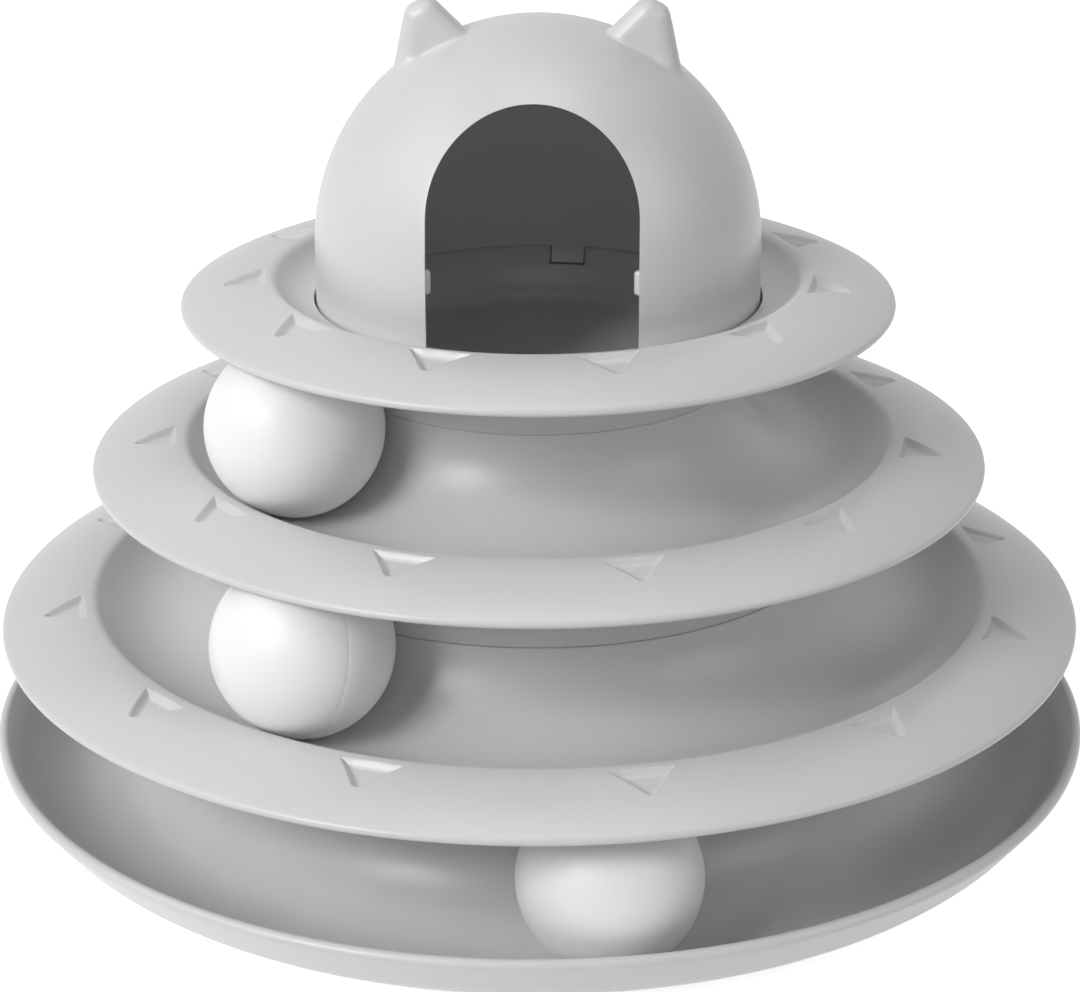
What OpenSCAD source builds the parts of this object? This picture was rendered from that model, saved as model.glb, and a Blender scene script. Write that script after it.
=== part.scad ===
// Tower of round ball tracks for a cat: a wide base tray, three loose tiers that stack on
// its column, a domed house with two ears on top, and one hollow ball held in each track.
// Each ball runs right round the tower. The tiers and the house lift straight off.
// Origin: centre of the tower, on the plane the pads stand on. +Z is up, the door faces -Y.

/* [Balls] */
// Outer diameter of a ball
ball_d = 40; // [37:0.5:42]
// Wall of a ball's hollow shell
ball_wall = 1.6; // [1.2:0.1:3]
// Height of the lap where the two halves of a ball join
ball_lap = 1.6; // [0.8:0.1:3]
// Gap round the lap
ball_lap_gap = 0.1; // [0.05:0.05:0.2]
// Gap between a ball and the floor under it
ball_gap = 0.35; // [0.35:0.05:0.6]
// Place of the ball in the base track, in degrees from the front
base_ball_angle = 9.8; // [-180:0.1:180]
// Place of the ball in the lower track, in degrees from the front
lower_ball_angle = -32.7; // [-180:0.1:180]
// Place of the ball in the middle track, in degrees from the front
middle_ball_angle = -51.9; // [-180:0.1:180]

/* [Tracks] */
// How much wider than a ball a track's round floor is, on the radius
track_play = 0.6; // [0.4:0.1:1.2]
// Wall of the moulded tiers
wall = 2.1; // [1.7:0.1:2.4]
// Height of a rim's crest above the floor of its track
track_depth = 6.7; // [5:0.1:8]
// Height of a tier's seat above the floor of its track
seat_h = 17.4; // [15:0.1:19]
// Distance from the middle of the middle track out to the middle of the lower track
lower_track_out = 23; // [21:0.5:25]
// Distance from the middle of the lower track out to the middle of the base track
base_track_out = 14; // [12:0.5:16]
// Gap between the ball in the base track and the trough above it
trough_headroom = 0.35; // [0.35:0.05:2]
// Gap between the ball in the lower track and the rim above it
lower_headroom = 0.4; // [0.4:0.05:3]
// Gap between the ball in the middle track and the rim above it
middle_headroom = 1.15; // [0.4:0.05:3]

/* [Rims] */
// Width of the upper rim outside the house
upper_rim_w = 30.95; // [30:0.05:33]
// Distance from a rim's edge to its crest
crest_in = 21; // [19:0.5:23]
// Width of the lower and middle rims outside the round floor of their tracks
rim_edge = 16.6; // [15:0.1:18]
// Radius of a rim's crown
crown_r = 43; // [38:1:60]
// Radius of the hollow side of the crest
crest_under_r = 0.9; // [0.3:0.1:2]

/* [Dents] */
// Number of dents in the lower rim
lower_dents = 12; // [6:1:16]
// Number of dents in the middle rim
middle_dents = 11; // [6:1:14]
// Number of dents in the upper rim
upper_dents = 11; // [6:1:12]
// Turn of the lower rim's dents about the tower, in degrees
lower_dent_turn = -2.1; // [-15:0.1:15]
// Turn of the middle rim's dents about the tower, in degrees
middle_dent_turn = -1.4; // [-15:0.1:15]
// Turn of the upper rim's dents about the tower, in degrees
upper_dent_turn = -1.2; // [-15:0.1:15]
// Width of a dent at its inner edge
dent_w = 14; // [8:0.5:16]
// Length of a dent from its inner edge to the corner that its point rounds off
dent_len = 10.2; // [6:0.1:11]
// Distance from a rim's edge to the inner edge of its dents
dent_in = 19.2; // [16:0.1:20]
// Depth of a dent
dent_depth = 1.1; // [0.5:0.1:1.3]
// Radius of a dent's point
dent_point_r = 1.4; // [0.6:0.1:2]

/* [Base tray] */
// Width of the lip's edge outside the round floor of the track
base_edge = 5.3; // [4.6:0.1:7]
// Width of the flat in the middle of the base track
base_flat_w = 2.7; // [1:0.1:4]
// Radius of the base tray's rounded lip
base_lip_r = 1.35; // [1:0.05:1.8]
// Drop from the middle of the ball track to the middle of the lip
base_lip_drop = 6.65; // [5:0.1:9]

/* [Pads] */
// Number of anti-slip pads
pad_count = 6; // [3:1:8]
// Angle that a pad spans between its round ends, in degrees
pad_angle = 15; // [8:1:20]
// Width of a pad
pad_w = 7; // [5:0.5:8]
// How far a pad stands out under the tray
pad_proud = 1.2; // [0.8:0.1:2]
// How deep a pad sits in its seat
pad_seat = 0.5; // [0.3:0.1:0.8]
// Gap round a pad in its seat
pad_gap = 0.15; // [0.1:0.05:0.3]

/* [Joints between tiers] */
// Gap between a spigot and the socket that it fits
slip = 0.3; // [0.3:0.05:0.6]
// Thickness of the shoulder that carries the tier above
shoulder_t = 2.5; // [1.5:0.1:4]
// Gap between a neck's top and the trough over it
neck_gap = 1; // [0.5:0.1:3]
// Depth of the spigot under the cup
spigot_h = 8; // [4:0.5:14]

/* [Cup] */
// Distance from the recess that the house stands in, out to the middle of the middle track
cup_out = 15.25; // [13.5:0.05:17]
// Drop from the upper rim's crest to the foot of the cove inside it
cove_depth = 5.4; // [4:0.1:6]
// Radius of the cove
cove_r = 9.5; // [8:0.5:11]
// Width of the flat between the cove and the recess
cove_flat = 0.4; // [0.2:0.1:1]
// Depth of the recess that the house stands in
recess_h = 3.3; // [2.5:0.1:4]
// Radius in the cup's bottom corner
cup_corner_r = 3; // [1:0.1:4]

/* [House] */
// Outer diameter of the house
dome_d = 102.1; // [94:0.1:108]
// Wall of the house
dome_wall = 2; // [1.6:0.1:2.6]
// Gap between the house and the recess round it
dome_gap = 0.5; // [0.3:0.1:1]
// Height of the upright wall under the dome
dome_wall_h = 16.1; // [12:0.1:22]
// Width of the door
door_w = 46; // [38:0.5:50]
// Distance from the top of the house down to the top of its door
door_top_in = 11.85; // [8:0.05:18]
// Width of a locating tab
tab_w = 8.1; // [5:0.1:12]
// Length of a tab below the house's bottom edge
tab_h = 3.9; // [2:0.1:4.2]
// Thickness of a tab
tab_t = 1; // [0.8:0.1:1.2]
// Distance from the house's inner wall to a tab
tab_in = 0.2; // [0.1:0.1:0.4]
// Gap round a tab in its slot
tab_gap = 0.35; // [0.35:0.05:0.5]
// How far a tab leans inwards over its height
tab_lean = 2; // [1.8:0.1:2.4]
// Place of the first tab, in degrees from the front
tab_angle = 173; // [150:1:180]
// Number of tabs
tab_count = 3; // [2:1:3]
// Height of the middle of the nibs inside the door's edges
nib_h = 18.8; // [10:0.1:26]
// Length of a nib
nib_len = 5.4; // [3:0.1:8]
// Radius of a nib
nib_r = 1.1; // [0.6:0.1:1.4]

/* [Ears] */
// Radius of an ear's rounded edges
ear_r = 3.5; // [2.5:0.1:4]
// Thickness of an ear
ear_t = 8.6; // [8:0.1:10]
// Distance of an ear's front face before the tower's axis
ear_front = 7; // [5:0.5:9]
// Angle from level up to an ear's tip, seen from the dome's centre, in degrees
ear_tip_angle = 64.9; // [60:0.1:70]
// How far the middle of an ear's tip stands outside the dome
ear_tip_out = 6.8; // [4:0.1:10]
// Angle from level up to an ear's outer foot, in degrees
ear_outer_angle = 52.6; // [48:0.1:56]
// How far the middle of an ear's outer foot lies inside the dome's outer face
ear_outer_in = 4; // [3.6:0.1:8]
// Angle from level up to an ear's inner foot, in degrees
ear_inner_angle = 73.3; // [70:0.1:78]
// How far the middle of an ear's inner foot lies inside the dome's outer face
ear_inner_in = 9.3; // [4:0.1:12]

/* [Hidden] */
$fn = 96;

// Angle between two points of a round stretch of an outline
arc_step = 6;
// Angle between two points of a small round edge
edge_step = 20;
// Overrun of every cut
over = 1;
// Share of the middle track's curve that the cup's side follows before its bottom corner
cup_side_share = 0.6;
// Turns of the three balls' joint lines, in degrees
base_seam_turn = [64, 0, 20];
lower_seam_turn = [0, 101.4, 66.2];
middle_seam_turn = [70, 0, 58.6];

ball_r = ball_d / 2;
arc_r = ball_r + track_play;
crest_r = wall + crest_under_r;
lip_r = wall / 2;
dome_r = dome_d / 2;
dome_in_r = dome_r - dome_wall;
recess_r = dome_r + dome_gap;

// Radii of the ball tracks' middles, of the rims outside them and of the columns inside them
middle_track = recess_r + cup_out;
lower_track = middle_track + lower_track_out;
base_track = lower_track + base_track_out;
upper_rim_r = dome_r + upper_rim_w;
middle_rim_r = middle_track + arc_r + rim_edge;
lower_rim_r = lower_track + arc_r + rim_edge;
base_r = base_track + arc_r + base_edge;
base_column = base_track - arc_r;
lower_column = lower_track - arc_r;
middle_column = middle_track - arc_r;

// Rise to the next tier's floor that leaves its trough clear of the ball, dx further out
function trough_rise(dx) = ball_gap + ball_r - arc_r
    + sqrt(pow(ball_r + arc_r + wall + trough_headroom, 2) - dx * dx);
// Rise to the next tier's floor that leaves its crown clear of the ball, dx from its crest
function crown_rise(dx, headroom) = ball_gap + ball_r + crown_r - track_depth
    - sqrt(pow(crown_r - wall - ball_r - headroom, 2) - dx * dx);

// Heights of the floors; the upper tier's is where its rim's floor would be
base_floor = pad_proud + wall;
lower_floor = base_floor + trough_rise(base_track - lower_track);
middle_floor = lower_floor + crown_rise(lower_track - middle_rim_r + crest_in, lower_headroom);
upper_floor = middle_floor + crown_rise(middle_track - upper_rim_r + crest_in, middle_headroom);

// Heights of the seats
base_seat = base_floor + seat_h;
lower_seat = lower_floor + seat_h;
middle_seat = middle_floor + arc_r;

// Heights and radii of the cup and the house in it
crest_z = upper_floor + track_depth;
cove_z = crest_z - cove_depth;
ledge_z = cove_z - recess_h;
cove_x = recess_r + cove_flat;
cup_floor = middle_seat + wall;
spigot_r = middle_column - wall - slip;
dome_mid_z = ledge_z + dome_wall_h;
door_arch_z = dome_mid_z + dome_r - door_top_in - door_w / 2;
tab_in_r = dome_in_r + tab_in;
tab_out_r = tab_in_r + tab_t;

// Point at a distance r from c, in the direction a
function polar(c, r, a) = c + r * [cos(a), sin(a)];
// Points along an arc round c from angle a0 to a1
function arc(c, r, a0, a1, step = arc_step) =
    let (n = max(1, ceil(abs(a1 - a0) / step)))
    [for (i = [0:n]) polar(c, r, a0 + (a1 - a0) * i / n)];
// Direction of v, from 0 to 360
function bearing(v) = (atan2(v.y, v.x) + 360) % 360;
// Where two circles meet, on the outer side of the tower
function meet(c1, r1, c2, r2) =
    let (d = norm(c2 - c1), u = (c2 - c1) / d, a = (d * d + r1 * r1 - r2 * r2) / (2 * d))
    c1 + a * u + sqrt(r1 * r1 - a * a) * [-u.y, u.x];
// Direction, in the lower half, of a circle's point that lies dx beside its centre
function under_bearing(dx, r) = 360 - acos(dx / r);
// Corner b between a and c, rounded to radius r
function round_corner(a, b, c, r) =
    let (
        u = (a - b) / norm(a - b),
        v = (c - b) / norm(c - b),
        half = acos(u * v) / 2,
        mid = b + (u + v) / norm(u + v) * r / sin(half),
        a0 = bearing(b + u * r / tan(half) - mid),
        turn = (bearing(b + v * r / tan(half) - mid) - a0 + 540) % 360 - 180
    )
    arc(mid, r, a0, a0 + turn, edge_step);

// Outline of a rim, from the end of its trough or cove over the crest and round the lip,
// back to the underside. The hollow before the crest is a circle of radius r round mid.
function rim_outline(rim_r, floor_z, mid, r, start, finish) =
    let (
        crown = [rim_r - crest_in, floor_z + track_depth - crown_r],
        crest = meet(mid, r + crest_r, crown, crown_r - crest_r),
        a_mid = bearing(crest - mid),
        a_crown = bearing(crest - crown),
        a_lip = 90 - asin((crest_in - lip_r) / (crown_r - lip_r)),
        lip = polar(crown, crown_r - lip_r, a_lip)
    )
    concat(
        arc(mid, r, start, a_mid),
        arc(crest, crest_r, a_mid - 180, a_crown),
        arc(crown, crown_r, a_crown, a_lip),
        arc(lip, lip_r, a_lip, a_lip - 180, edge_step),
        arc(crown, crown_r - wall, a_lip, a_crown),
        arc(crest, crest_under_r, a_crown, a_mid - 180),
        arc(mid, r + wall, a_mid, finish)
    );

// Skirt from a trough down to the seat of the tier below, then the trough's underside on
// the inner side of the skirt, to the direction finish
function skirt_outline(mid, column, seat, finish) =
    concat(
        [[column, seat], [column - wall, seat]],
        arc(mid, arc_r + wall, under_bearing(column - wall - mid.x, arc_r + wall), finish)
    );

// Directions from a trough's middle to its seat and to the underside of its shoulder
function seat_bearing() = 180 + asin((arc_r - seat_h) / arc_r);
function shoulder_bearing() = 180 + asin((arc_r - seat_h + shoulder_t) / (arc_r + wall));

// Neck that stands on a shoulder and locates the tier above
function neck_outline(column, seat, next_floor) =
    let (outer = column - wall - slip, inner = outer - wall, top = next_floor - wall - neck_gap)
    [[inner, seat - shoulder_t], [inner, top], [outer, top], [outer, seat]];

// Outline of the base tray: neck, shoulder, trough with a flat, and rounded outer lip
function base_outline() =
    let (
        mid = [base_track, base_floor + arc_r],
        out = mid + [base_flat_w, 0],
        lip = [base_r - base_lip_r, mid.y - base_lip_drop],
        a_lip = bearing(lip - out),
        a_top = a_lip - acos((arc_r + base_lip_r) / norm(lip - out)),
        a_under = a_lip - acos((arc_r + wall - base_lip_r) / norm(lip - out))
    )
    concat(
        neck_outline(base_column, base_seat, lower_floor),
        arc(mid, arc_r, seat_bearing(), 270),
        arc(out, arc_r, 270, a_top),
        arc(lip, base_lip_r, a_top - 180, a_under - 360, edge_step),
        arc(out, arc_r + wall, a_under, 270),
        arc(mid, arc_r + wall, 270, shoulder_bearing())
    );

// Outline of the lower tier: as the base, with a rim, and a skirt that sits on the base
function lower_outline() =
    let (mid = [lower_track, lower_floor + arc_r])
    concat(
        neck_outline(lower_column, lower_seat, middle_floor),
        rim_outline(lower_rim_r, lower_floor, mid, arc_r, seat_bearing(),
            under_bearing(base_column - mid.x, arc_r + wall)),
        skirt_outline(mid, base_column, base_seat, shoulder_bearing())
    );

// Outline of the middle tier: its column ends at the middle of the trough, under the cup
function middle_outline() =
    let (mid = [middle_track, middle_floor + arc_r])
    concat(
        rim_outline(middle_rim_r, middle_floor, mid, arc_r, 180,
            under_bearing(lower_column - mid.x, arc_r + wall)),
        skirt_outline(mid, lower_column, lower_seat, 180)
    );

// Outline of the upper tier: a cup whose outside carries the middle track's curve on
function upper_outline() =
    let (
        track = [middle_track, middle_seat],
        cove = [cove_x, cove_z + cove_r],
        a_wall = acos((track.x - dome_in_r - slip) / (arc_r + wall)),
        a_ledge = asin((ledge_z - slip - track.y) / (arc_r + wall)),
        a_in = 180 - min(a_wall, a_ledge),
        a_out = 180 - acos(cup_out / arc_r),
        a_low = a_in + (180 - a_in) * cup_side_share,
        foot = [polar(track, arc_r + wall, a_low).x, cup_floor]
    )
    concat(
        [[0, cup_floor]],
        round_corner([0, cup_floor], foot, polar(track, arc_r + wall, a_low), cup_corner_r),
        arc(track, arc_r + wall, a_low, a_in),
        [[dome_in_r + slip, ledge_z], [recess_r, ledge_z], [recess_r, cove_z]],
        rim_outline(upper_rim_r, upper_floor, cove, cove_r, 270,
            under_bearing(recess_r + wall - cove_x, cove_r + wall)),
        arc(track, arc_r, a_out, 180),
        [[spigot_r, middle_seat], [spigot_r, middle_seat - spigot_h]],
        [[spigot_r - wall, middle_seat - spigot_h], [spigot_r - wall, middle_seat], [0, middle_seat]]
    );

// One dent's cutter on a rim, pointing outwards along +X
module dent_cutter(rim_r, floor_z) {
    crown = [rim_r - crest_in, floor_z + track_depth - crown_r];
    inner_x = rim_r - dent_in;
    inner_z = crown.y + sqrt(pow(crown_r, 2) - pow(inner_x - crown.x, 2));
    tip_x = inner_x + dent_len;
    tip_z = crown.y + sqrt(pow(crown_r, 2) - pow(tip_x - crown.x, 2));
    left = [0, dent_w / 2];
    right = [0, -dent_w / 2];
    translate([inner_x, 0, inner_z])
        rotate([0, atan2(inner_z - tip_z, dent_len), 0])
            translate([0, 0, -dent_depth])
                linear_extrude(dent_depth + over)
                    polygon(concat([right], round_corner(right, [dent_len, 0], left, dent_point_r), [left]));
}

// A ring of dents, the first pair set evenly about the front and then turned
module dents(count, turn, rim_r, floor_z) {
    for (i = [0:count - 1])
        rotate([0, 0, (i + 0.5) * 360 / count - 90 + turn])
            dent_cutter(rim_r, floor_z);
}

// Arc-shaped pad with round ends, grown by grow, from z = low to high, its middle along +X
module pad_form(grow, low, high) {
    mid_r = base_track + base_flat_w / 2;
    half_w = pad_w / 2 + grow;
    translate([0, 0, low]) {
        rotate([0, 0, -pad_angle / 2])
            rotate_extrude(angle = pad_angle)
                translate([mid_r - half_w, 0])
                    square([2 * half_w, high - low]);
        for (side = [-1, 1])
            rotate([0, 0, side * pad_angle / 2])
                translate([mid_r, 0, 0])
                    cylinder(r = half_w, h = high - low);
    }
}

// Everything inside, at the place of the pad or seat with this number
module at_pad(number) {
    rotate([0, 0, (number - 1) * 360 / pad_count - 90])
        children();
}

module base_tray() {
    color("lightgray")
        difference() {
            rotate_extrude()
                polygon(base_outline());
            for (i = [1:pad_count])
                at_pad(i)
                    pad_form(pad_gap, pad_proud - over, pad_proud + pad_seat);
        }
}

module foot_pad(number) {
    color("dimgray")
        at_pad(number)
            pad_form(0, 0, pad_proud + pad_seat);
}

module lower_tier() {
    color("gainsboro")
        difference() {
            rotate_extrude()
                polygon(lower_outline());
            dents(lower_dents, lower_dent_turn, lower_rim_r, lower_floor);
        }
}

module middle_tier() {
    color("gainsboro")
        difference() {
            rotate_extrude()
                polygon(middle_outline());
            dents(middle_dents, middle_dent_turn, middle_rim_r, middle_floor);
        }
}

module upper_tier() {
    color("gainsboro")
        difference() {
            rotate_extrude()
                polygon(upper_outline());
            dents(upper_dents, upper_dent_turn, upper_rim_r, upper_floor);
            for (i = [0:tab_count - 1])
                rotate([0, 0, tab_angle + i * 360 / tab_count - 90])
                    tab_slot();
        }
}

// Slot in the cup's wall for one tab, along +X, open towards the inside. Its back leans in with
// the wall, as the tab does.
module tab_slot() {
    slot_w = tab_w + 2 * tab_gap;
    slot_in = dome_in_r - wall - over;
    slot_h = tab_h + tab_gap;
    back = tab_out_r + tab_gap;
    low_back = back - tab_lean * slot_h / tab_h;
    translate([0, slot_w / 2, ledge_z])
        rotate([90, 0, 0])
            linear_extrude(slot_w)
                polygon([[slot_in, over], [back, over], [back, 0], [low_back, -slot_h], [slot_in, -slot_h]]);
}

// Tab that hangs from the house's bottom edge, along +X, and leans in with the cup's wall
module tab() {
    intersection() {
        rotate_extrude()
            polygon([
                [tab_in_r, ledge_z + dome_wall],
                [tab_out_r, ledge_z + dome_wall],
                [tab_out_r, ledge_z],
                [tab_out_r - tab_lean, ledge_z - tab_h],
                [tab_in_r - tab_lean, ledge_z - tab_h],
                [tab_in_r, ledge_z]
            ]);
        translate([0, -tab_w / 2, ledge_z - tab_h])
            cube([dome_r, tab_w, tab_h + dome_wall]);
    }
}

// Upright wall and round top of the house, solid, of radius r, from z = low
module dome_solid(r, low) {
    translate([0, 0, low])
        cylinder(r = r, h = dome_mid_z - low);
    translate([0, 0, dome_mid_z])
        intersection() {
            sphere(r = r);
            cylinder(r = r + over, h = r + over);
        }
}

// Door cutter: an arched prism through the front wall
module door_cutter() {
    translate([0, 0, door_arch_z])
        rotate([90, 0, 0]) {
            translate([-door_w / 2, ledge_z - door_arch_z - over, 0])
                cube([door_w, door_arch_z - ledge_z + over, dome_r + over]);
            cylinder(r = door_w / 2, h = dome_r + over);
        }
}

// Ear on the +X side
module ear() {
    centre = [0, dome_mid_z];
    feet = [
        polar(centre, dome_r + ear_tip_out, ear_tip_angle),
        polar(centre, dome_r - ear_outer_in, ear_outer_angle),
        polar(centre, dome_r - ear_inner_in, ear_inner_angle)
    ];
    hull()
        for (foot = feet, back = [ear_r, ear_t - ear_r])
            translate([foot.x, back - ear_front, foot.y])
                sphere(r = ear_r, $fn = 32);
}

// Round nib on the inner wall at the door's edge on the +X side
module nib() {
    edge_x = door_w / 2;
    translate([edge_x, -sqrt(dome_in_r * dome_in_r - edge_x * edge_x), ledge_z + nib_h - nib_len / 2])
        cylinder(r = nib_r, h = nib_len);
}

module dome() {
    color("gainsboro") {
        difference() {
            union() {
                dome_solid(dome_r, ledge_z);
                ear();
                mirror([1, 0, 0])
                    ear();
            }
            dome_solid(dome_in_r, ledge_z - over);
            door_cutter();
        }
        for (i = [0:tab_count - 1])
            rotate([0, 0, tab_angle + i * 360 / tab_count - 90])
                tab();
        nib();
        mirror([1, 0, 0])
            nib();
    }
}

// Half of a ball's shell, below its joint line, with a tongue that stands in the other half
module half_a() {
    tongue_r = ball_r - ball_wall / 2 - ball_lap_gap;
    difference() {
        union() {
            intersection() {
                sphere(r = ball_r);
                translate([0, 0, -ball_r])
                    cylinder(r = ball_d, h = ball_r);
            }
            translate([0, 0, -ball_lap])
                cylinder(r = tongue_r, h = 2 * ball_lap);
        }
        sphere(r = ball_r - ball_wall);
        cylinder(r = ball_r - ball_wall, h = ball_lap + over);
    }
}

// The other half, above the joint line, with a rebate for the tongue
module half_b() {
    difference() {
        intersection() {
            sphere(r = ball_r);
            cylinder(r = ball_d, h = ball_r);
        }
        sphere(r = ball_r - ball_wall);
        translate([0, 0, -over])
            cylinder(r = ball_r - ball_wall / 2, h = over + ball_lap + ball_lap_gap);
    }
}

// Everything inside, at a ball's place in a track, turned as its joint line lies
module at_ball(track, floor_z, turn, seam_turn) {
    rotate([0, 0, turn])
        translate([0, -track, floor_z + ball_gap + ball_r])
            rotate(seam_turn)
                color("white")
                    children();
}

module at_base_ball() {
    at_ball(base_track, base_floor, base_ball_angle, base_seam_turn)
        children();
}

module at_lower_ball() {
    at_ball(lower_track, lower_floor, lower_ball_angle, lower_seam_turn)
        children();
}

module at_middle_ball() {
    at_ball(middle_track, middle_floor, middle_ball_angle, middle_seam_turn)
        children();
}

base_tray();
lower_tier();
middle_tier();
upper_tier();
dome();
at_base_ball() half_a();  // ball_base_half_a
at_base_ball() half_b();  // ball_base_half_b
at_lower_ball() half_a();  // ball_lower_half_a
at_lower_ball() half_b();  // ball_lower_half_b
at_middle_ball() half_a();  // ball_middle_half_a
at_middle_ball() half_b();  // ball_middle_half_b
for (i = [1:pad_count])
    foot_pad(i);
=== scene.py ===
"""Tower of round ball tracks for a cat, with a domed house on top.

The packed solids are the frame: they give the places, the joints and the outer sizes. Each piece
here is turned, cut and finished as its own mesh, and stands for the solid of the same name.
"""

import math
from types import SimpleNamespace

import bpy
from mathutils import Matrix, Vector


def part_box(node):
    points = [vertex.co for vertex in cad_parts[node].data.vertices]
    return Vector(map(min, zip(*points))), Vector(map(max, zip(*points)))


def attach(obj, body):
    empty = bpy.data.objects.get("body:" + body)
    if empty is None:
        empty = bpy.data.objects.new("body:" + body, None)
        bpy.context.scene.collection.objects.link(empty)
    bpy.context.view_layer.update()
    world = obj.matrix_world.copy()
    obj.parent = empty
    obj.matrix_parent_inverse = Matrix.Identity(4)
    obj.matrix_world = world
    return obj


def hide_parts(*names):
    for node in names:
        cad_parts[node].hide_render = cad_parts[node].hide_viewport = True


bl_info = {
    "name": "Cat ball tower",
    "version": (1, 0, 0),
    "blender": (4, 5, 0),
    "location": "View3D > Sidebar > Ball Tower",
    "description": "Models and finishes a tower of ball tracks with a domed house, and its studio",
    "category": "Add Mesh",
}

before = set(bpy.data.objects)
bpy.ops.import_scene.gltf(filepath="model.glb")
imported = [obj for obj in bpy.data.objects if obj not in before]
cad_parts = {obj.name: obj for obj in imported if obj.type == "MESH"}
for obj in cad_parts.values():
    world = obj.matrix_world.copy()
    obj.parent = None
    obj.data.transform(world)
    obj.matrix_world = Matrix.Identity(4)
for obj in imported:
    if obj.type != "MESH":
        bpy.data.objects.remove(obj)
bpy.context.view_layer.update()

TIERS = ("lower", "middle", "upper")
HALVES = ("a", "b")
# Two points nearer than this are one
SAME = 2e-6
# A point nearer than these to the door's edge or to the dome's skin lies on it
ON_EDGE = 10 * SAME
ON_SKIN = 20 * SAME
# A face lies level if its normal points up or down by more than this
LEVEL = 0.99


def length(name, description, millimetres):
    """A size property, in metres, from its value in millimetres."""
    return bpy.props.FloatProperty(
        name=name,
        description=description,
        default=millimetres / 1000,
        min=0,
        precision=5,
        unit="LENGTH",
        subtype="DISTANCE",
    )


def turn(name, description, degrees):
    """An angle property, in radians, from its value in degrees."""
    return bpy.props.FloatProperty(
        name=name,
        description=description,
        default=math.radians(degrees),
        precision=4,
        unit="ROTATION",
        subtype="ANGLE",
    )


def colour(name, description, value):
    """A colour property of red, green and blue."""
    return bpy.props.FloatVectorProperty(
        name=name,
        description=description,
        default=value,
        size=3,
        min=0,
        max=1,
        subtype="COLOR",
    )


def power(name, description, watts):
    """A property for a lamp's power."""
    return bpy.props.FloatProperty(
        name=name, description=description, default=watts, min=0, unit="POWER"
    )


def joint_line(name, description, degrees):
    """A property for the turn of a ball's joint line about X, Y and Z, from degrees."""
    return bpy.props.FloatVectorProperty(
        name=name,
        description=description,
        default=[math.radians(angle) for angle in degrees],
        subtype="EULER",
    )


class TrackSizes(bpy.types.PropertyGroup):
    """Sizes of the ball tracks and of the moulded walls."""

    wall: length("Wall", "Wall of the moulded tiers", 2.1)
    play: length("Play", "How much wider than a ball a track's round floor is", 0.6)
    depth: length("Depth", "Height of a rim's crest above the floor of its track", 6.7)
    seat_h: length("Seat height", "Height of a tier's seat above the floor of its track", 17.4)
    rim_edge: length("Rim edge", "Width of a rim outside the round floor of its track", 16.6)
    crest_in: length("Crest place", "Distance from a rim's edge to its crest", 21)
    crown_r: length("Crown radius", "Radius of a rim's crown", 43)
    crest_under_r: length("Crest hollow", "Radius of the hollow side of the crest", 0.9)
    tray_edge: length("Tray edge", "Width of the tray's lip outside the round floor", 5.3)
    tray_flat: length("Tray flat", "Width of the flat in the middle of the base track", 2.7)
    tray_lip_r: length("Tray lip", "Radius of the tray's rounded lip", 1.35)
    tray_lip_drop: length("Lip drop", "Drop from the ball track's middle to the lip", 6.65)
    slip: length("Slip", "Gap between a spigot and the socket that it fits", 0.3)
    shoulder_t: length("Shoulder", "Thickness of the shoulder that carries a tier", 2.5)
    neck_gap: length("Neck gap", "Gap between a neck's top and the trough over it", 1)
    spigot_h: length("Spigot", "Depth of the spigot under the cup", 8)
    soft_r: length("Soft corner", "Radius of the moulded corners", 0.25)


class DentSizes(bpy.types.PropertyGroup):
    """Sizes of the pointed dents in the rims."""

    width: length("Width", "Width of a dent at its inner edge", 14)
    run: length("Length", "Length of a dent up to the corner that its point rounds off", 10.2)
    inset: length("Inset", "Distance from a rim's edge to the dent's inner edge", 19.2)
    depth: length("Depth", "Depth of a dent", 1.6)
    point_r: length("Point radius", "Radius of a dent's point", 1.4)
    slope: length("Slope", "Width of a dent's scooped side", 1.4)
    lower_turn: turn("Lower turn", "Turn of the lower rim's dents about the tower", -2.1)
    middle_turn: turn("Middle turn", "Turn of the middle rim's dents about the tower", -1.4)
    upper_turn: turn("Upper turn", "Turn of the upper rim's dents about the tower", -1.2)
    lower: bpy.props.IntProperty(name="Lower", description="Dents in the lower rim", default=12)
    middle: bpy.props.IntProperty(name="Middle", description="Dents in the middle rim", default=11)
    upper: bpy.props.IntProperty(name="Upper", description="Dents in the upper rim", default=11)


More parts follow.
